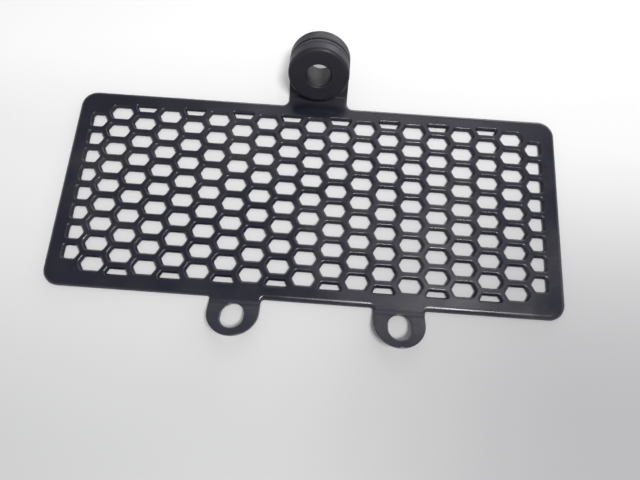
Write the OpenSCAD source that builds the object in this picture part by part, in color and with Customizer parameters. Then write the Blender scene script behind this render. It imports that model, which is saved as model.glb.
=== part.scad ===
// Radiator guard: a flat moulded honeycomb plate with one upright ear at its top
// edge, which carries a rubber grommet, and two slotted tabs bent up at its bottom
// edge. It lies on its outer face, with the ear and the tabs pointing up.

/* [Honeycomb] */
// Columns of openings, an odd number, counting the half ones at both ends
columns = 19; // [11:2:27]
// Full openings in each odd column
rows = 9; // [5:1:13]
// Distance between columns
column_pitch = 7.43; // [7.1:0.01:8.4]
// Distance between the openings of one column
row_pitch = 6; // [5.6:0.1:7]
// Width of an opening from point to point
hole_w = 6.5; // [5.6:0.1:7]
// Height of an opening between its flat sides
hole_h = 3.9; // [3:0.1:4.6]
// Height that is left of the openings cut by the long borders
sliver_h = 1.5; // [1:0.1:2.2]
// How far the half openings at both ends reach past their column's middle
end_reach = 0.9; // [0:0.1:1.5]

/* [Plate] */
// Thickness of the plate, the ear and the tabs
plate_t = 1.5; // [1.4:0.1:3]
// Solid border beyond the openings at the left and right
side_border = 4.8; // [3:0.1:10]
// Solid border beyond the openings along the long edges
long_border = 4.2; // [3:0.1:10]
// Radius of the plate's corners
corner_r = 4.7; // [3:0.1:8]
// Rounding of the plate's upper outer edge
edge_r = 1.2; // [0.3:0.1:1.3]

/* [Ear] */
// Wall of the ear round the grommet's seat
ear_wall = 2.7; // [2:0.1:4]
// Angle between the ear and the plate
ear_angle = 70; // [45:1:85]
// Radius inside the ear's bend
ear_bend_r = 1.7; // [1.5:0.1:5]
// Flat step between the plate's edge and the ear's bend
ear_step = 2.3; // [0.2:0.1:4]
// Distance along the ear from its bend to the grommet's flange
flange_gap = 0.1; // [0:0.1:10]
// Radius of the blends at the ear's root
ear_fillet_r = 2; // [0.5:0.1:4]

/* [Grommet] */
// Diameter of the hole through the grommet
bore_d = 7.4; // [5:0.1:10]
// Wall of the grommet's neck round the hole
neck_wall = 2.5; // [1.5:0.1:4]
// Radial gap between the grommet's neck and the ear
neck_gap = 0.05; // [0.02:0.01:0.2]
// How far the flanges stand out past the ear's round end
flange_lip = 0.1; // [0:0.05:2]
// Thickness of the flange on the plate's side
front_flange_t = 3.9; // [2.4:0.1:5]
// Thickness of the flange on the far side
back_flange_t = 4.5; // [2.4:0.1:5]
// Rounding of the flanges' outer edges
flange_r = 1.1; // [0.4:0.1:1.3]
// Rounding of the flanges' edges that meet the ear
seat_r = 0.4; // [0.1:0.1:0.8]

/* [Tabs] */
// Wall of a tab beside its slot
tab_wall = 3.9; // [2.5:0.05:7]
// Middle of the left tab, counted from the plate's middle
left_tab_x = -18.2; // [-40:0.1:-14]
// Middle of the right tab, counted from the plate's middle
right_tab_x = 26.8; // [14:0.1:50]
// Angle between the tabs and the plate
tab_angle = 28; // [10:1:45]
// Radius inside the tabs' bend
tab_bend_r = 4.8; // [2:0.1:8]
// Radius of the blends at a tab's root
tab_fillet_r = 1; // [0.4:0.1:3]
// Width of a tab's slot
slot_w = 6.3; // [4.5:0.1:8]
// Length of a tab's slot from end to end, seen from above
slot_l = 7.3; // [6.6:0.1:14]
// Distance from the plate's edge to a tab's slot, seen from above
slot_inset = 1.7; // [0.5:0.1:6]
// Wall between the slot's far end and the tab's end, seen from above
slot_wall = 2.2; // [1.5:0.1:6]

/* [Hidden] */
$fn = 64;

eps = 0.01;
arc_steps = 8;
edge_steps = 4;
mid_column = (columns - 1) / 2;
mid_row = (rows - 1) / 2;
hole_point = hole_h / 2 / tan(60);
sliver_inner_y = rows / 2 * row_pitch - hole_h / 2;
grille_half_w = mid_column * column_pitch + end_reach;
grille_half_h = sliver_inner_y + sliver_h;
plate_half_w = grille_half_w + side_border;
plate_half_h = grille_half_h + long_border;
// The border and the grille meet in the middle of the solid border
seam_half_w = grille_half_w + side_border / 4;
seam_half_h = grille_half_h + long_border / 4;

neck_d = bore_d + 2 * neck_wall;
seat_d = neck_d + 2 * neck_gap;
ear_w = seat_d + 2 * ear_wall;
flange_d = ear_w + 2 * flange_lip;
ear_reach = flange_d / 2 - seat_r + flange_gap;
ear_bend_y = plate_half_h + ear_step;
// Where the ear's upper face leaves its bend, and where the grommet's axis meets it
ear_flat_y = ear_bend_y + ear_bend_r * sin(ear_angle);
ear_flat_z = plate_t + ear_bend_r * (1 - cos(ear_angle));
axis_y = ear_flat_y + ear_reach * cos(ear_angle);
axis_z = ear_flat_z + ear_reach * sin(ear_angle);

tab_w = slot_w + 2 * tab_wall;
slot_far = slot_inset + slot_l;
// Middle of a tab's round end, from the plate's edge, and a height above its tip
tab_reach = slot_far + slot_wall - tab_w / 2;
tab_tall = plate_t + tab_bend_r + (tab_reach + tab_w) * tan(tab_angle);

// The grommet's far flange reaches highest in Y, and the tabs' ends reach lowest
flange_round_u = flange_d / 2 - flange_r;
flange_round_v = plate_t + back_flange_t - flange_r;
top_y = axis_y + flange_round_v * sin(ear_angle) + flange_round_u * cos(ear_angle) + flange_r;
low_y = -plate_half_h - slot_far - slot_wall;
shift_y = -(top_y + low_y) / 2;

// Points of an arc about a centre
function arc(cx, cy, r, from, to, steps) = [
    for (i = [0 : steps])
        let (a = from + (to - from) * i / steps)
            [cx + r * cos(a), cy + r * sin(a)]
];

// Moves a piece from the plate's own middle to the model's origin
module placed() {
    translate([0, shift_y, 0])
        children();
}

// An opening of the honeycomb, with its points to the left and right
module hole_outline() {
    polygon([
        [-hole_w / 2, 0],
        [-hole_w / 2 + hole_point, -hole_h / 2],
        [hole_w / 2 - hole_point, -hole_h / 2],
        [hole_w / 2, 0],
        [hole_w / 2 - hole_point, hole_h / 2],
        [-hole_w / 2 + hole_point, hole_h / 2]
    ]);
}

// All the openings, cut square where they meet the border
module openings() {
    intersection() {
        square([2 * grille_half_w, 2 * grille_half_h], center = true);
        for (c = [0 : columns - 1]) {
            offset_row = (c + mid_column) % 2 == 0 ? 0 : 0.5;
            edge_column = c == 0 || c == columns - 1;
            last = offset_row == 0 ? mid_row : (edge_column ? mid_row - 0.5 : mid_row + 0.5);
            for (r = [-last : 1 : last])
                translate([(c - mid_column) * column_pitch, r * row_pitch])
                    hole_outline();
        }
    }
}

// The honeycomb field up to its seam with the border
module grille() {
    linear_extrude(plate_t)
        difference() {
            square([2 * seam_half_w, 2 * seam_half_h], center = true);
            openings();
        }
}

// Section of the border's outer part, from the seam or centre line to the edge
function edge_section(reach) = concat(
    [[0, 0], [reach, 0]],
    arc(reach - edge_r, plate_t - edge_r, edge_r, 0, 90, edge_steps),
    [[0, plate_t]]
);

// Straight border along one side, drawn along Y at the right
module side_bar(reach, seam, length) {
    rotate([90, 0, 0])
        linear_extrude(length, center = true)
            translate([seam, 0])
                polygon(edge_section(reach - seam));
}

// Solid border with its rounded upper edge and round corners
module border() {
    straight_x = plate_half_w - corner_r;
    straight_y = plate_half_h - corner_r;
    difference() {
        union() {
            for (a = [0, 180])
                rotate(a) {
                    side_bar(plate_half_w, seam_half_w - corner_r, 2 * straight_y);
                    rotate(90)
                        side_bar(plate_half_h, seam_half_h - corner_r, 2 * straight_x);
                }
            for (sx = [-1, 1], sy = [-1, 1])
                translate([sx * straight_x, sy * straight_y])
                    rotate_extrude()
                        polygon(edge_section(corner_r));
        }
        translate([0, 0, plate_t / 2])
            cube([2 * seam_half_w, 2 * seam_half_h, 3 * plate_t], center = true);
    }
}

// Side section of a strip: it leaves the seam flat, turns up about a radius of r from
// bend on, and goes on for reach
function strip_section(bend, r, angle, reach) = concat(
    [[seam_half_h, plate_t], [seam_half_h, 0]],
    arc(bend, plate_t + r, r + plate_t, -90, angle - 90, arc_steps),
    [for (s = [r + plate_t, r])
        [bend + s * sin(angle) + reach * cos(angle), plate_t + r - s * cos(angle) + reach * sin(angle)]],
    arc(bend, plate_t + r, r, angle - 90, -90, arc_steps)
);

// A strip along +Y without its outline, as wide as its root with the blends
module strip_body(w, fillet, bend, r, angle, reach) {
    rotate([90, 0, 90])
        linear_extrude(w + 2 * fillet, center = true)
            polygon(strip_section(bend, r, angle, reach));
}

// Plan of a strip from the seam outwards, with a blend on both sides where it leaves the edge
module root_plan(w, fillet, far) {
    translate([-w / 2, seam_half_h])
        square([w, far - seam_half_h]);
    for (s = [-1, 1])
        difference() {
            translate([s * (w / 2 + fillet / 2 - eps / 2), plate_half_h + (fillet - edge_r) / 2])
                square([fillet + eps, fillet + edge_r], center = true);
            translate([s * (w / 2 + fillet), plate_half_h + fillet])
                circle(fillet);
        }
}

// Upright ear with the seat for the grommet's neck: its outline is drawn in its own
// plane, whose origin is where the bend ends
module ear() {
    difference() {
        intersection() {
            strip_body(ear_w, ear_fillet_r, ear_bend_y, ear_bend_r, ear_angle, ear_reach + ear_w);
            union() {
                linear_extrude(plate_t + ear_bend_r)
                    root_plan(ear_w, ear_fillet_r, ear_bend_y + (ear_bend_r + plate_t) * sin(ear_angle));
                translate([0, ear_flat_y, ear_flat_z])
                    rotate([ear_angle, 0, 0])
                        translate([0, 0, -2 * plate_t])
                            linear_extrude(3 * plate_t) {
                                translate([-ear_w / 2, -ear_bend_r])
                                    square([ear_w, ear_reach + ear_bend_r]);
                                translate([0, ear_reach])
                                    circle(d = ear_w);
                            }
            }
        }
        translate([0, axis_y, axis_z])
            rotate([ear_angle, 0, 0])
                cylinder(h = 4 * plate_t, d = seat_d, center = true);
    }
}

// Outline of a tab with its slot, as seen from above
module tab_plan() {
    difference() {
        union() {
            root_plan(tab_w, tab_fillet_r, plate_half_h + tab_reach);
            translate([0, plate_half_h + tab_reach])
                circle(d = tab_w);
        }
        for (y = [slot_inset + slot_w / 2, slot_far - slot_w / 2])
            translate([0, plate_half_h + y])
                circle(d = slot_w);
        translate([-slot_w / 2, plate_half_h + slot_inset + slot_w / 2])
            square([slot_w, slot_l - slot_w]);
    }
}

// Slotted tab, drawn along +Y and turned to the bottom edge; its walls stay upright
module tab(x) {
    translate([x, 0, 0])
        rotate(180)
            intersection() {
                strip_body(tab_w, tab_fillet_r, plate_half_h, tab_bend_r, tab_angle,
                    (tab_reach + tab_w) / cos(tab_angle));
                linear_extrude(tab_tall)
                    tab_plan();
            }
}

// The whole moulding: honeycomb, border, ear and tabs
module guard() {
    color([0.06, 0.06, 0.07])
        placed() {
            grille();
            border();
            ear();
            tab(left_tab_x);
            tab(right_tab_x);
        }
}

// Half section of the grommet, with its axis upright and the ear's upper face at zero
function grommet_section() = concat(
    [[bore_d / 2, -plate_t - back_flange_t]],
    arc(flange_round_u, -flange_round_v, flange_r, -90, 0, arc_steps),
    arc(flange_d / 2 - seat_r, -plate_t - seat_r, seat_r, 0, 90, edge_steps),
    [[neck_d / 2, -plate_t], [neck_d / 2, 0]],
    arc(flange_d / 2 - seat_r, seat_r, seat_r, -90, 0, edge_steps),
    arc(flange_round_u, front_flange_t - flange_r, flange_r, 0, 90, arc_steps),
    [[bore_d / 2, front_flange_t]]
);

// Rubber grommet that clips into the ear
module grommet() {
    color([0.09, 0.09, 0.1])
        placed()
            translate([0, axis_y, axis_z])
                rotate([ear_angle, 0, 0])
                    rotate_extrude()
                        polygon(grommet_section());
}

guard();
grommet();
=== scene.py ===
import math

import bpy
from mathutils import Matrix, Vector
from mathutils.geometry import delaunay_2d_cdt


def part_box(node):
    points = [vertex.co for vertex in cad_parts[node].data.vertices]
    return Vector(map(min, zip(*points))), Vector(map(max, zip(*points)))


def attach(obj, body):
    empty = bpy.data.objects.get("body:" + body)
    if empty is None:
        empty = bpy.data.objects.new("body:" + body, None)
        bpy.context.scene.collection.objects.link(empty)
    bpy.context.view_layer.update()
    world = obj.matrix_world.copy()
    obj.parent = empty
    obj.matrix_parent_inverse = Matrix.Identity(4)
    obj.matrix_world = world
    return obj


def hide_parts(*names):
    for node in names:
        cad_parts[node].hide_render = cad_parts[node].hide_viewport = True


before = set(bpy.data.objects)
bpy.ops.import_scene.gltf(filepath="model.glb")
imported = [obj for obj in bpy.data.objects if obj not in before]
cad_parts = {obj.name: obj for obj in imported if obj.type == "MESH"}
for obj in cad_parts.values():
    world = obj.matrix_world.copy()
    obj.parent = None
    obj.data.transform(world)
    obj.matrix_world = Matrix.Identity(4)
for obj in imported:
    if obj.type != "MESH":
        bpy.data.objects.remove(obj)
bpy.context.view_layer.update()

# Sizes are in millimetres, most of them the part's own, and MM turns them to metres
MM = 0.001

# Honeycomb: the throat is an opening at its narrowest, inside its bevelled rims
COLUMNS = 19
ROWS = 9
COLUMN_PITCH = 7.43
ROW_PITCH = 6
HOLE_H = 3.9
HOLE_SLOPE = math.radians(60)
THROAT_W = 6.5
THROAT_H = 3.8
SLIVER_H = 1.5
END_REACH = 0.9
HOLE_CORNER_R = 0.75
END_CORNER_R = 0.65
SLIVER_CORNER_R = 0.25

# Plate
PLATE_T = 1.5
SIDE_BORDER = 4.8
LONG_BORDER = 4.2
CORNER_R = 4.7

# Ear: the CAD's bend radius, and the sharper one of the visible crease
EAR_WALL = 2.7
EAR_ANGLE = math.radians(70)
EAR_BEND_R = 1.7
CREASE_R = 0.5
EAR_STEP = 2.3
EAR_FILLET_R = 2
SEAT_R = 0.4

# Grommet: the shrink is taken off its radius, so that it stays inside the CAD's box, and
# a dark groove runs between the ear and each flange
BORE_D = 7.4
BORE_EDGE_R = 0.6
NECK_WALL = 2.5
NECK_GAP = 0.05
FRONT_FLANGE_T = 3.9
BACK_FLANGE_T = 4.5
FLANGE_R = 1.1
FLANGE_LIP = 0.1
FLANGE_GAP = 0.1
FLANGE_SHRINK = 0.03
GROOVE_R = 0.2
GROOVE_GAP = 0.3
GROOVE_DEPTH = 1.1

# Tabs
TAB_WALL = 3.9
TAB_XS = (-18.2, 26.8)
TAB_ANGLE = math.radians(28)
TAB_BEND_R = 4.8
TAB_FILLET_R = 1
SLOT_W = 6.3
SLOT_L = 7.3
SLOT_INSET = 1.7
SLOT_WALL = 2.2

# Edges as (width, depth) on the upper and on the lower side: round, or bevelled where a
# third number gives the bevel's blend radius. The border's edge fades to the strips' edge
# over the first part of the ear
BORDER_EDGE = ((1.5, 1.15), (0.25, 0.25))
STRIP_EDGE = ((0.3, 0.3), (0.3, 0.3))
EAR_EDGE_FADE = 5
WEB_EDGE = ((0.8, 0.95, 0.45), (0.4, 0.45))
SEAT_EDGE = ((0.2, 0.2), (0.2, 0.2))

# Steps of each edge and of the arcs, points round the seat and round the grommet, and
# rounds of the search for a bevel's slope
EDGE_STEPS = 5
CORNER_STEPS = 14
FILLET_STEPS = 8
STRIP_END_STEPS = 40
SLOT_END_STEPS = 24
HOLE_CORNER_STEPS = 4
BORE_EDGE_STEPS = 6
FLANGE_STEPS = 10
GROOVE_STEPS = 4
SEAT_POINTS = 72
GROMMET_POINTS = 96
BEVEL_ROUNDS = 4

# Rows of points along each strip as (round its bend, along its flat part), and how far
# the rim's rows stay from the blend at the foot and from the round end
EAR_ROWS = (12, 7)
TAB_ROWS = (8, 2)
ROW_CLEARANCE = 0.05

# Points across each strip's inside, and how far these stay from the air, the end and the
# sides
POINTS_ACROSS = 12
SEAT_MARGIN = 0.6
SLOT_MARGIN = 1
END_MARGIN = 1.2
SIDE_MARGIN = 1

# Triangulation: only inside the outline, with points nearer than this taken as one
CDT_INSIDE = 1
CDT_EPSILON = 1e-6

# Noises are (scale, detail), bumps (strength, height in metres), and the other pairs are
# ranges. The haze is a greyer colour in patches, and the ear is duller from its foot on
CLOUD_RANGE = (0.3, 0.7)
PLASTIC_DARK = (0.007, 0.007, 0.018)
PLASTIC_LIGHT = (0.011, 0.010, 0.024)
PLASTIC_CLOUD = (90, 5)
PLASTIC_ROUGHNESS = (0.20, 0.34)
PLASTIC_SPECULAR = 0.75
PLASTIC_GRAIN = (2600, 2)
PLASTIC_BUMP = (0.12, 0.00004)
HAZE_COLOUR = (0.034, 0.033, 0.042)
HAZE_NOISE = (38, 7)
HAZE_RANGE = (0.46, 0.7)
HAZE_SHARE = 0.7
EAR_DULLNESS = 0.4
EAR_DULL_RANGE = (-1, 2)
RUBBER_DARK = (0.006, 0.006, 0.013)
RUBBER_LIGHT = (0.013, 0.013, 0.022)
RUBBER_CLOUD = (220, 4)
RUBBER_ROUGHNESS = (0.45, 0.58)
RUBBER_SPECULAR = 0.6
RUBBER_GRAIN = (1800, 3)
RUBBER_BUMP = (0.25, 0.00005)

# Floor, a table top, in metres. Its colour is painted light and shade: it goes from a greyer
# near colour to a paler far one over a range of Y, on a slant, with a painted shade patch at
# the near right, and beyond the fade it is far all round. For the camera's own rays a painted
# glow lifts it to white behind the part
FLOOR_HALF = 1.2
FLOOR_DROP = 0.0001
FLOOR_NEAR_PAINTED_SHADE = (0.69, 0.69, 0.695)
FLOOR_FAR_PAINTED_LIGHT = (0.99, 0.985, 0.99)
FLOOR_PAINTED_FALLOFF_RANGE = (-0.075, 0.03)
FLOOR_PAINTED_LIGHT_SLANT = -0.12
FLOOR_PAINTED_SHADE_COLOUR = (0.475, 0.465, 0.475)
FLOOR_PAINTED_SHADE_X = (-0.02, 0.08)
FLOOR_PAINTED_SHADE_Y = (-0.06, 0.03)
FLOOR_PAINTED_SHADE_SHARE = 0.95
FLOOR_FADE = (0.25, 0.45)
FLOOR_PAINTED_GLOW = (0.13, 0.13, 0.13)
FLOOR_PAINTED_GLOW_RANGE = (0.02, 0.06)
FLOOR_ROUGHNESS = 0.9
FLOOR_SPECULAR = 0.1

# Lamps as (place, target, size, power), in metres and watts
LAMPS = {
    "key_softbox": ((0.17, 0.12, 0.59), (0.02, 0.0, 0.0), (0.10, 0.10), 0.10),
    "back_softbox": ((0.22, 0.62, 0.11), (0.0, 0.05, 0.0), (0.85, 0.22), 1.55),
    "front_softbox": ((0.10, -0.135, 0.42), (0.02, 0.0, 0.0), (0.12, 0.07), 1.22),
    "top_softbox": ((0.07, 0.46, 0.60), (0.02, 0.03, 0.0), (0.45, 0.26), 0.35),
    "right_softbox": ((0.62, 0.10, 0.28), (0.03, 0.0, 0.0), (0.25, 0.20), 0.10),
}

# Room's colour at the horizon, and from this height of a direction upwards
ROOM_LEVEL = (0.64, 0.645, 0.65)
ROOM_ABOVE = (0.24, 0.242, 0.245)
ROOM_HEIGHT = 0.75

# Camera, worked out from the grid of openings: its place from the plate's middle, its
# right and its view, and how far the view is then turned to the left and down
CAMERA_PLACE = (5.5, -61.24, 149.44)
CAMERA_RIGHT = (0.99744, 0.07031, 0.01337)
CAMERA_VIEW = (-0.00927, 0.31226, -0.94995)
AIM_LEFT = 0.0015
AIM_DOWN = 0.0011
LENS = 31.02
SENSOR_W = 36
CLIP_NEAR = 0.01
CLIP_FAR = 20

mid_column = (COLUMNS - 1) // 2
mid_row = (ROWS - 1) // 2
grille_half_w = mid_column * COLUMN_PITCH + END_REACH
grille_half_h = ROWS / 2 * ROW_PITCH - HOLE_H / 2 + SLIVER_H
plate_half_w = grille_half_w + SIDE_BORDER
plate_half_h = grille_half_h + LONG_BORDER
neck_d = BORE_D + 2 * NECK_WALL
seat_d = neck_d + 2 * NECK_GAP
ear_w = seat_d + 2 * EAR_WALL
flange_d = ear_w + 2 * FLANGE_LIP
ear_reach = flange_d / 2 - SEAT_R + FLANGE_GAP
# With the sharper crease, the ear's two flat faces stay where the CAD has them
crease_shift = (EAR_BEND_R - CREASE_R) * math.tan(EAR_ANGLE / 2)
tab_w = SLOT_W + 2 * TAB_WALL
slot_far = SLOT_INSET + SLOT_L
tab_reach = slot_far + SLOT_WALL - tab_w / 2
# How far out the middles of a slot's two round ends lie
slot_middles = (
    plate_half_h + SLOT_INSET + SLOT_W / 2,
    plate_half_h + slot_far - SLOT_W / 2,
)

# The plate's middle in Y, from the CAD's lowest point, which is the tabs' ends
guard_low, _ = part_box("guard")
shift_y = guard_low.y / MM + plate_half_h + slot_far + SLOT_WALL


def stepped(low, high, count):
    """Even steps from low to high, with both of them."""
    return [low + (high - low) * i / count for i in range(count + 1)]


class Ear:
    """The ear, unrolled: flat up to start, bent up to flat, and flat again."""

    width, fillet = ear_w, EAR_FILLET_R
    start = plate_half_h + EAR_STEP + crease_shift
    flat = start + CREASE_R * EAR_ANGLE
    end = flat + ear_reach + crease_shift

    @classmethod
    def bend(cls, y, depth, upper):
        """(y, z, turn) of a point y along the ear and depth below its upper face."""
        if y <= cls.start:
            return y, PLATE_T - depth, 0.0
        turn = min((y - cls.start) / CREASE_R, EAR_ANGLE)
        past = max(0.0, y - cls.flat)
        arm = CREASE_R + depth
        out_y = cls.start + arm * math.sin(turn) + past * math.cos(turn)
        out_z = PLATE_T + CREASE_R - arm * math.cos(turn) + past * math.sin(turn)
        return out_y, out_z, turn

    @classmethod
    def rows(cls):
        """Distances at which the ear has rows of points."""
        bent, straight = EAR_ROWS
        return stepped(cls.start, cls.flat, bent) + stepped(cls.flat, cls.end, straight)[1:]


class Tab:
    """A tab as seen from above: its walls are upright and its faces bend up past the edge."""

    width, fillet = tab_w, TAB_FILLET_R
    end = plate_half_h + tab_reach

    @classmethod
    def bend(cls, y, depth, upper):
        """(y, z, turn) of a point y out from the middle and depth below the upper face."""
        run = y - plate_half_h
        radius = TAB_BEND_R if upper else TAB_BEND_R + PLATE_T
        rest = 0 if upper else PLATE_T
        if run <= 0:
            return y, PLATE_T - depth, 0.0
        turn = min(math.asin(min(1, run / radius)), TAB_ANGLE)
        past = max(0.0, run - radius * math.sin(TAB_ANGLE))
        face = PLATE_T + TAB_BEND_R - radius * math.cos(turn) + past * math.tan(TAB_ANGLE)
        return y, face - (depth - rest), turn

    @classmethod
    def rows(cls):
        """Distances at which a tab has rows of points."""
        bent, straight = TAB_ROWS
        flat = plate_half_h + (TAB_BEND_R + PLATE_T) * math.sin(TAB_ANGLE)
        return stepped(plate_half_h, flat, bent) + stepped(flat, cls.end, straight)[1:]


def to_space(x, y, depth, normal, upper):
    """Point and normal of the unbent guard in space; the normal is bent the same way."""
    strip = Ear if y > 0 else Tab
    side = 1 if y > 0 else -1
    bent_y, z, turn = strip.bend(abs(y), depth, upper)
    along, up = side * normal.y, normal.z
    if strip is Ear:
        out = along * math.cos(turn) - up * math.sin(turn)
        rise = along * math.sin(turn) + up * math.cos(turn)
    else:
        out = along - up * math.sin(turn)
        rise = up * math.cos(turn)
    turned = Vector((normal.x, side * out, rise)).normalized()
    return Vector((x, side * bent_y + shift_y, z)) * MM, turned


def arc(cx, cy, r, start, end, steps, hollow=False):
    """Rim points (x, y, outward x, outward y) of an arc, with its angles in degrees.

    A hollow arc curves round the air.
    """
    found = []
    sign = -1 if hollow else 1
    for i in range(steps + 1):
        a = math.radians(start + (end - start) * i / steps)
        c, s = math.cos(a), math.sin(a)
        found.append((cx + r * c, cy + r * s, sign * c, sign * s))
    return found


def strip_rim(strip):
    """Rim of a strip along +Y, from its right blend over its end to its left blend."""
    half, f = strip.width / 2, strip.fillet
    foot = plate_half_h + f
    first, last = foot + ROW_CLEARANCE, strip.end - ROW_CLEARANCE
    sides = [y for y in strip.rows() if first < y < last]
    rim = arc(half + f, foot, f, 270, 180, FILLET_STEPS, hollow=True)
    rim += [(half, y, 1, 0) for y in sides]
    rim += arc(0, strip.end, half, 0, 180, STRIP_END_STEPS)
    rim += [(-half, y, -1, 0) for y in reversed(sides)]
    rim += arc(-half - f, foot, f, 0, -90, FILLET_STEPS, hollow=True)
    return rim


def turned_over(rim, x):
    """The same rim turned by half a turn and moved to x, as on the bottom edge."""
    return [(x - px, -py, -nx, -ny) for px, py, nx, ny in rim]


def outer_rim():
    """Whole outline of the unrolled guard, counter-clockwise."""
    cx, cy = plate_half_w - CORNER_R, plate_half_h - CORNER_R
    rim = arc(-cx, -cy, CORNER_R, 180, 270, CORNER_STEPS)
    for x in sorted(TAB_XS):
        rim += turned_over(strip_rim(Tab), x)
    rim += arc(cx, -cy, CORNER_R, 270, 360, CORNER_STEPS)
    rim += arc(cx, cy, CORNER_R, 0, 90, CORNER_STEPS)
    rim += strip_rim(Ear)
    rim += arc(-cx, cy, CORNER_R, 90, 180, CORNER_STEPS)
    return rim


def rounded_hole(points, r):
    """Rim of an opening with these corners, listed counter-clockwise, rounded by r."""
    rim = []
    count = len(points)
    for i, here in enumerate(points):
        back = (here - points[i - 1]).normalized()
        on = (points[(i + 1) % count] - here).normalized()
        start = math.degrees(math.atan2(-back.x, back.y))
        end = math.degrees(math.atan2(-on.x, on.y))
        while end < start:
            end += 360
        half_turn = math.radians(end - start) / 2
        inward = (on - back).normalized()
        core = here + inward * (r / math.cos(half_turn))
        rim += arc(core.x, core.y, r, start, end, HOLE_CORNER_STEPS, hollow=True)
    return rim


def clipped(points, axis, limit):
    """The part of a convex outline up to a limit on one axis, or down to a negative one."""
    sign = 1 if limit > 0 else -1
    kept = []
    count = len(points)
    for i, a in enumerate(points):
        b = points[(i + 1) % count]
        inside_a = sign * a[axis] <= abs(limit)
        inside_b = sign * b[axis] <= abs(limit)
        if inside_a:
            kept.append(a.copy())
        if inside_a != inside_b:
            share = (limit - a[axis]) / (b[axis] - a[axis])
            kept.append(a.lerp(b, share))
    return kept


def hexagon(cx, cy):
    """Corners of an opening, counter-clockwise from its right point."""
    point = THROAT_H / 2 / math.tan(HOLE_SLOPE)
    half, flat, top = THROAT_W / 2, THROAT_W / 2 - point, THROAT_H / 2
    corners = [(half, 0), (flat, top), (-flat, top), (-half, 0), (-flat, -top), (flat, -top)]
    return [Vector((cx + x, cy + y)) for x, y in corners]


def openings():
    """Rims of all the openings: cut at the side borders, and slivers at the long ones."""
    rims = []
    for c in range(COLUMNS):
        x = (c - mid_column) * COLUMN_PITCH
        at_end = c in (0, COLUMNS - 1)
        if (c + mid_column) % 2 == 0:
            spots = range(-mid_row, mid_row + 1)
        else:
            reach = ROWS if not at_end else ROWS - 2
            spots = [half / 2 for half in range(-reach, reach + 1, 2)]
        for row in spots:
            corners = hexagon(x, row * ROW_PITCH)
            r = HOLE_CORNER_R
            if at_end:
                corners = clipped(corners, 0, math.copysign(grille_half_w, x))
                r = END_CORNER_R
            if abs(row) * 2 == ROWS:
                corners = clipped(corners, 1, math.copysign(grille_half_h, row))
                r = SLIVER_CORNER_R
            rims.append(rounded_hole(corners, r))
    return rims


def slot_rim(x):
    """Rim of a tab's slot on the bottom edge."""
    near, far = slot_middles
    rim = arc(0, far, SLOT_W / 2, 0, 180, SLOT_END_STEPS, hollow=True)
    rim += arc(0, near, SLOT_W / 2, 180, 360, SLOT_END_STEPS, hollow=True)
    return turned_over(rim, x)


def new_object(name, points, faces, normals):
    """Smooth mesh object with a normal given for each point."""
    mesh = bpy.data.meshes.new(name)
    mesh.from_pydata(points, [], faces)
    mesh.shade_smooth()
    mesh.normals_split_custom_set_from_vertices(normals)
    return bpy.data.objects.new(name, mesh)


class Shell:
    """Collects points with their normals, and faces, of one closed mesh."""

    def __init__(self):
        self.points = []
        self.normals = []
        self.faces = []

    def add(self, x, y, depth, normal, upper):
        """Adds a point of the unbent guard where it lies when bent; returns its number."""
        point, turned = to_space(x, y, depth, normal, upper)
        self.points.append(point)
        self.normals.append(turned)
        return len(self.points) - 1


def edge_of(x, y):
    """Edges along the outline: the border's, or the strips' smaller ones."""
    fade = EAR_EDGE_FADE if y > 0 else TAB_FILLET_R
    share = min(1.0, max(0.0, (abs(y) - plate_half_h) / fade))
    return tuple(
        tuple(a + (b - a) * share for a, b in zip(border, strip))
        for border, strip in zip(BORDER_EDGE, STRIP_EDGE)
    )


def quarter(width, depth, blend=0):
    """Points (back, depth, outward, upward) of an edge from a flat face to its wall.

    The edge is round, or a bevel if there is a blend, and has EDGE_STEPS + 1 points.
    """
    found = []
    if not blend:
        for a in stepped(0, math.pi / 2, EDGE_STEPS):
            c, s = math.cos(a), math.sin(a)
            found.append((width * (1 - s), depth * (1 - c), s / width, c / depth))
        return found
    slope = math.atan2(depth, width)
    for _ in range(BEVEL_ROUNDS):
        run = width - blend * math.tan(slope / 2)
        fall = depth - blend * math.tan(math.pi / 4 - slope / 2)
        slope = math.atan2(fall, run)
    half = (EDGE_STEPS - 1) // 2
    for a in stepped(0, slope, half):
        c, s = math.cos(a), math.sin(a)
        found.append((width - blend * s, blend * (1 - c), s, c))
    for a in stepped(slope, math.pi / 2, half):
        c, s = math.cos(a), math.sin(a)
        found.append((blend * (1 - s), depth - blend * c, s, c))
    return found


def rim_rings(shell, rim, edges):
    """Adds a rim's rings from the upper to the lower face; returns the first and last ring."""
    columns = []
    for x, y, nx, ny in rim:
        over, under = edges(x, y)
        side = [(*point, True) for point in quarter(*over)]
        side += [
            (back, PLATE_T - fall, out, -up, False)
            for back, fall, out, up in reversed(quarter(*under))
        ]
        column = []
        for back, fall, out, up, upper in side:
            px, py = x - back * nx, y - back * ny
            normal = Vector((nx * out, ny * out, up)).normalized()
            column.append((shell.add(px, py, fall, normal, upper), px, py))
        columns.append(column)
    rings = list(zip(*columns))
    count = len(rim)
    for above, below in zip(rings, rings[1:]):
        for i in range(count):
            j = (i + 1) % count
            shell.faces.append((above[i][0], below[i][0], below[j][0], above[j][0]))
    return rings[0], rings[-1]


def inner_points(strip, x_middle, side, air, radius):
    """Points inside a strip, so that its bend is round, further than radius from the air.

    The air is an opening's span in Y along the strip's middle, and side is 1 at the top
    edge and -1 at the bottom edge.
    """
    found = []
    half = strip.width / 2
    for y in [plate_half_h] + strip.rows():
        nearest = min(max(y, air[0]), air[1])
        for i in range(1, POINTS_ACROSS):
            x = strip.width * (i / POINTS_ACROSS - 0.5)
            clear = math.hypot(x, y - nearest) > radius
            within = y < strip.end or math.hypot(x, y - strip.end) < half - END_MARGIN
            if clear and within and abs(x) < half - SIDE_MARGIN:
                found.append((x_middle + side * x, side * y))
    return found


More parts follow.
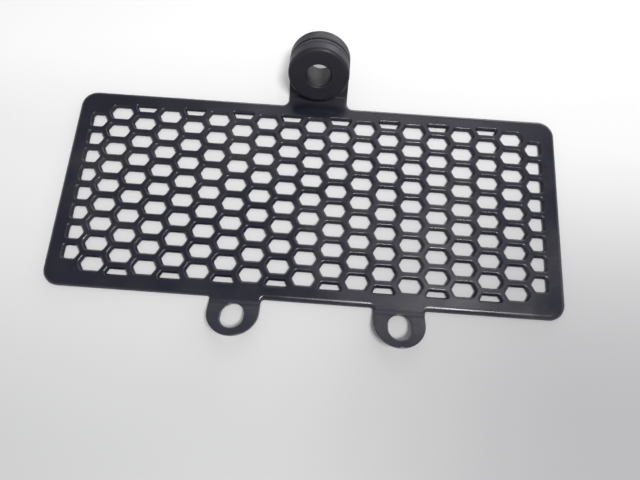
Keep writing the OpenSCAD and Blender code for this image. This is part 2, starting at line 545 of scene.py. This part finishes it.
def fill(shell, rings, extra, upper):
    """Fills the upper or lower face between the rims' end rings with triangles.

    Each point's owner is the number of its ring, where 0 is the outline, or -1 if extra.
    """
    flat, owner, index, edges = [], [], [], []
    for number, ring in enumerate(rings):
        first, size = len(flat), len(ring)
        for point, x, y in ring:
            flat.append(Vector((x, y)))
            owner.append(number)
            index.append(point)
        edges += [(first + i, first + (i + 1) % size) for i in range(size)]
    up = Vector((0, 0, 1 if upper else -1))
    for x, y in extra:
        flat.append(Vector((x, y)))
        owner.append(-1)
        index.append(shell.add(x, y, 0 if upper else PLATE_T, up, upper))
    _, _, triangles, source, _, _ = delaunay_2d_cdt(flat, edges, [], CDT_INSIDE, CDT_EPSILON)
    for triangle in triangles:
        corners = [source[v][0] for v in triangle]
        owners = {owner[c] for c in corners}
        # A triangle with all its corners on one opening's rim lies in that opening
        if len(owners) == 1 and owners.pop() > 0:
            continue
        corners = [index[c] for c in corners]
        shell.faces.append(tuple(corners if upper else reversed(corners)))


def make_guard():
    """The moulding: unrolled outline and openings, an edge along every rim, then bent."""
    shell = Shell()
    last_angle = 360 - 360 / SEAT_POINTS
    seat = arc(0, Ear.end, seat_d / 2, 0, last_angle, SEAT_POINTS - 1, hollow=True)
    rims = [(outer_rim(), edge_of), (seat[::-1], lambda x, y: SEAT_EDGE)]
    rims += [(slot_rim(x)[::-1], lambda x, y: STRIP_EDGE) for x in TAB_XS]
    rims += [(rim[::-1], lambda x, y: WEB_EDGE) for rim in openings()]
    ends = [rim_rings(shell, rim, edges) for rim, edges in rims]
    extra = inner_points(Ear, 0, 1, (Ear.end, Ear.end), seat_d / 2 + SEAT_MARGIN)
    for x in TAB_XS:
        extra += inner_points(Tab, x, -1, slot_middles, SLOT_W / 2 + SLOT_MARGIN)
    fill(shell, [end[0] for end in ends], extra, upper=True)
    fill(shell, [end[1] for end in ends], extra, upper=False)
    return new_object("guard_moulding", shell.points, shell.faces, shell.normals)


def step(radius, low, high, up):
    """Points up a groove's bottom, between two faces that both face up (1) or down (-1)."""
    rises = ((low, 0, up), (low, 1, 0), (high, 1, 0), (high, 0, up))
    return [(radius, *rise) for rise in rises]


def grommet_section():
    """Half section from the bore, counter-clockwise, with the ear's upper face at height 0.

    Its points are (radius, height, outward radius, outward height).
    """
    back, front = -PLATE_T - BACK_FLANGE_T, FRONT_FLANGE_T
    outer, neck = flange_d / 2 - FLANGE_SHRINK, neck_d / 2
    at_bore, at_rim = BORE_D / 2 + BORE_EDGE_R, outer - FLANGE_R
    at_lip, deep = outer - GROOVE_R, outer - GROOVE_DEPTH
    section = arc(at_bore, back + BORE_EDGE_R, BORE_EDGE_R, 180, 270, BORE_EDGE_STEPS)
    section += arc(at_rim, back + FLANGE_R, FLANGE_R, 270, 360, FLANGE_STEPS)
    section += arc(at_lip, -PLATE_T - GROOVE_GAP - GROOVE_R, GROOVE_R, 0, 90, GROOVE_STEPS)
    section += step(deep, -PLATE_T - GROOVE_GAP, -PLATE_T, 1)
    section += [(neck, -PLATE_T, 0, 1), (neck, -PLATE_T, 1, 0)]
    section += [(neck, 0, 1, 0), (neck, 0, 0, -1)]
    section += step(deep, 0, GROOVE_GAP, -1)
    section += arc(at_lip, GROOVE_GAP + GROOVE_R, GROOVE_R, -90, 0, GROOVE_STEPS)
    section += arc(at_rim, front - FLANGE_R, FLANGE_R, 0, 90, FLANGE_STEPS)
    section += arc(at_bore, front - BORE_EDGE_R, BORE_EDGE_R, 90, 180, BORE_EDGE_STEPS)
    return section


def make_grommet():
    """The rubber grommet, turned about the axis of the ear's seat."""
    section = grommet_section()
    face_y, face_z, turn = Ear.bend(Ear.end, 0, True)
    middle = Vector((0, face_y + shift_y, face_z)) * MM
    place = Matrix.Translation(middle) @ Matrix.Rotation(turn, 4, "X")
    points, normals, faces = [], [], []
    for i in range(GROMMET_POINTS):
        a = 2 * math.pi * i / GROMMET_POINTS
        c, s = math.cos(a), math.sin(a)
        for r, h, nr, nh in section:
            points.append(place @ (Vector((r * c, r * s, h)) * MM))
            normals.append(place.to_3x3() @ Vector((nr * c, nr * s, nh)))
    size = len(section)
    for i in range(GROMMET_POINTS):
        j = (i + 1) % GROMMET_POINTS
        for k in range(size):
            m = (k + 1) % size
            # A sharp corner has two points in one place, with no face between them
            if section[k][:2] == section[m][:2]:
                continue
            faces.append((i * size + k, j * size + k, j * size + m, i * size + m))
    return new_object("rubber_grommet", points, faces, normals)


class Tree:
    """Shader nodes of a material or of the room."""

    def __init__(self, owner):
        owner.use_nodes = True
        self.nodes = owner.node_tree.nodes
        self.links = owner.node_tree.links

    def feed(self, node, sources):
        """Feeds inputs of a node, each from another node's output, a number or a colour."""
        for key, source in sources.items():
            if isinstance(source, bpy.types.NodeSocket):
                self.links.new(source, node.inputs[key])
            elif isinstance(source, tuple):
                node.inputs[key].default_value = (*source, 1)
            else:
                node.inputs[key].default_value = source

    def coordinate(self, kind):
        return self.nodes.new("ShaderNodeTexCoord").outputs[kind]

    def split(self, vector):
        """The X, Y and Z of a vector."""
        node = self.nodes.new("ShaderNodeSeparateXYZ")
        self.feed(node, {0: vector})
        return node.outputs

    def length(self, vector):
        node = self.nodes.new("ShaderNodeVectorMath")
        node.operation = "LENGTH"
        self.feed(node, {0: vector})
        return node.outputs["Value"]

    def maths(self, operation, *values):
        node = self.nodes.new("ShaderNodeMath")
        node.operation = operation
        self.feed(node, dict(enumerate(values)))
        return node.outputs[0]

    def noise(self, where, scale, detail):
        node = self.nodes.new("ShaderNodeTexNoise")
        self.feed(node, {"Vector": where, "Scale": scale, "Detail": detail})
        return node.outputs["Fac"]

    def spread(self, value, given, wanted=(0, 1)):
        """Maps a value from one range to another, with smooth ends."""
        node = self.nodes.new("ShaderNodeMapRange")
        node.interpolation_type = "SMOOTHSTEP"
        self.feed(node, {"Value": value, "From Min": given[0], "From Max": given[1]})
        self.feed(node, {"To Min": wanted[0], "To Max": wanted[1]})
        return node.outputs["Result"]

    def mixed(self, share, first, second):
        """Colour between two, by the second one's share."""
        node = self.nodes.new("ShaderNodeMix")
        node.data_type = "RGBA"
        self.feed(node, {0: share, 6: first, 7: second})
        return node.outputs[2]

    def bump(self, height, strength, distance):
        node = self.nodes.new("ShaderNodeBump")
        self.feed(node, {"Height": height, "Strength": strength, "Distance": distance})
        return node.outputs["Normal"]


def new_material(name):
    """Material with its tree and its shader."""
    material = bpy.data.materials.new(name)
    tree = Tree(material)
    return material, tree, tree.nodes["Principled BSDF"]


def plastic():
    """Satin black moulded plastic with a fine grain, cloudy gloss and faint haze."""
    material, tree, shader = new_material("satin_black_plastic")
    where = tree.coordinate("Object")
    cloud = tree.noise(where, *PLASTIC_CLOUD)
    haze = tree.spread(tree.noise(where, *HAZE_NOISE), HAZE_RANGE, (0, HAZE_SHARE))
    clean = tree.mixed(cloud, PLASTIC_DARK, PLASTIC_LIGHT)
    ear_foot = plate_half_h + shift_y
    dull_range = [(ear_foot + reach) * MM for reach in EAR_DULL_RANGE]
    at_ear = tree.spread(tree.split(where)["Y"], dull_range, (0, EAR_DULLNESS))
    rough = tree.spread(cloud, CLOUD_RANGE, PLASTIC_ROUGHNESS)
    tree.feed(shader, {
        "Base Color": tree.mixed(haze, clean, HAZE_COLOUR),
        "Roughness": tree.maths("ADD", rough, at_ear),
        "Specular IOR Level": PLASTIC_SPECULAR,
        "Normal": tree.bump(tree.noise(where, *PLASTIC_GRAIN), *PLASTIC_BUMP),
    })
    return material


def rubber():
    """Soft black rubber, duller than the plastic, with a dusty mottle."""
    material, tree, shader = new_material("soft_black_rubber")
    where = tree.coordinate("Object")
    cloud = tree.noise(where, *RUBBER_CLOUD)
    tree.feed(shader, {
        "Base Color": tree.mixed(cloud, RUBBER_DARK, RUBBER_LIGHT),
        "Roughness": tree.spread(cloud, CLOUD_RANGE, RUBBER_ROUGHNESS),
        "Specular IOR Level": RUBBER_SPECULAR,
        "Normal": tree.bump(tree.noise(where, *RUBBER_GRAIN), *RUBBER_BUMP),
    })
    return material


def floor_material():
    """Pale table top with painted light: whiter at the far edge, painted shade at the near
    right, and a painted glow.
    """
    material, tree, shader = new_material("pale_table")
    spot = tree.coordinate("Object")
    x, y, _ = tree.split(spot)
    away = tree.length(spot)
    # Painted light falloff: the floor is greyer near the camera and paler far off, standing in
    # for how the lamps light it
    slanted = tree.maths("MULTIPLY_ADD", x, FLOOR_PAINTED_LIGHT_SLANT, y)
    far = tree.spread(slanted, FLOOR_PAINTED_FALLOFF_RANGE)
    far = tree.maths("MAXIMUM", far, tree.spread(away, FLOOR_FADE))
    # Painted shade: a darker patch on the table at the near right, faded out far away
    painted_shade_y = tree.spread(y, FLOOR_PAINTED_SHADE_Y, (FLOOR_PAINTED_SHADE_SHARE, 0))
    painted_shade = tree.maths("MULTIPLY", tree.spread(x, FLOOR_PAINTED_SHADE_X), painted_shade_y)
    painted_shade = tree.maths("MULTIPLY", painted_shade, tree.spread(away, FLOOR_FADE, (1, 0)))
    # Painted glow: for camera rays the table emits light, lifting it to white behind the part
    # though it is no lamp
    by_camera = tree.nodes.new("ShaderNodeLightPath").outputs["Is Camera Ray"]
    painted_glow_share = tree.spread(slanted, FLOOR_PAINTED_GLOW_RANGE)
    tree.feed(shader, {
        "Base Color": tree.mixed(painted_shade, tree.mixed(far, FLOOR_NEAR_PAINTED_SHADE, FLOOR_FAR_PAINTED_LIGHT), FLOOR_PAINTED_SHADE_COLOUR),
        "Roughness": FLOOR_ROUGHNESS,
        "Specular IOR Level": FLOOR_SPECULAR,
        "Emission Color": FLOOR_PAINTED_GLOW,
        "Emission Strength": tree.maths("MULTIPLY", by_camera, painted_glow_share),
    })
    return material


def add(obj):
    bpy.context.scene.collection.objects.link(obj)
    return obj


def make_floor():
    half, z = FLOOR_HALF, -FLOOR_DROP
    mesh = bpy.data.meshes.new("table_top")
    corners = [(-half, -half, z), (half, -half, z), (half, half, z), (-half, half, z)]
    mesh.from_pydata(corners, [], [(0, 1, 2, 3)])
    mesh.materials.append(floor_material())
    floor = add(bpy.data.objects.new("table_top", mesh))


def area_light(name, place, target, size, power):
    light = bpy.data.lights.new(name, "AREA")
    light.shape = "RECTANGLE"
    light.size, light.size_y = size
    light.energy = power
    obj = add(bpy.data.objects.new(name, light))
    obj.location = Vector(place)
    obj.rotation_mode = "QUATERNION"
    obj.rotation_quaternion = (Vector(target) - Vector(place)).to_track_quat("-Z", "Y")


def make_lights():
    """The lamps, and a room that is paler at the horizon than above."""
    for name, lamp in LAMPS.items():
        area_light(name, *lamp)
    world = bpy.data.worlds.new("pale_room")
    bpy.context.scene.world = world
    tree = Tree(world)
    height = tree.split(tree.coordinate("Generated"))["Z"]
    colour = tree.mixed(tree.spread(height, (0, ROOM_HEIGHT)), ROOM_LEVEL, ROOM_ABOVE)
    tree.feed(tree.nodes["Background"], {"Color": colour})


def make_camera():
    """Camera at the photograph's place, with its axes squared up after its aim is turned."""
    right, forward = Vector(CAMERA_RIGHT).normalized(), Vector(CAMERA_VIEW).normalized()
    up = right.cross(forward).normalized()
    forward = (forward - right * AIM_LEFT - up * AIM_DOWN).normalized()
    right = forward.cross(up).normalized()
    up = right.cross(forward).normalized()
    x, y, z = CAMERA_PLACE
    place = Vector((x, y + shift_y, z + PLATE_T / 2)) * MM
    camera = bpy.data.cameras.new("camera")
    camera.lens = LENS
    camera.sensor_width = SENSOR_W
    camera.clip_start = CLIP_NEAR
    camera.clip_end = CLIP_FAR
    obj = add(bpy.data.objects.new("camera", camera))
    turn = Matrix((right, up, -forward)).transposed().to_4x4()
    obj.matrix_world = Matrix.Translation(place) @ turn
    bpy.context.scene.camera = obj


def main():
    bpy.context.scene.view_settings.view_transform = "Standard"
    guard = add(make_guard())
    guard.data.materials.append(plastic())
    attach(guard, "root")
    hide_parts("guard")
    grommet = add(make_grommet())
    grommet.data.materials.append(rubber())
    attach(grommet, "root")
    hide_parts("grommet")
    make_floor()
    make_lights()
    make_camera()


main()
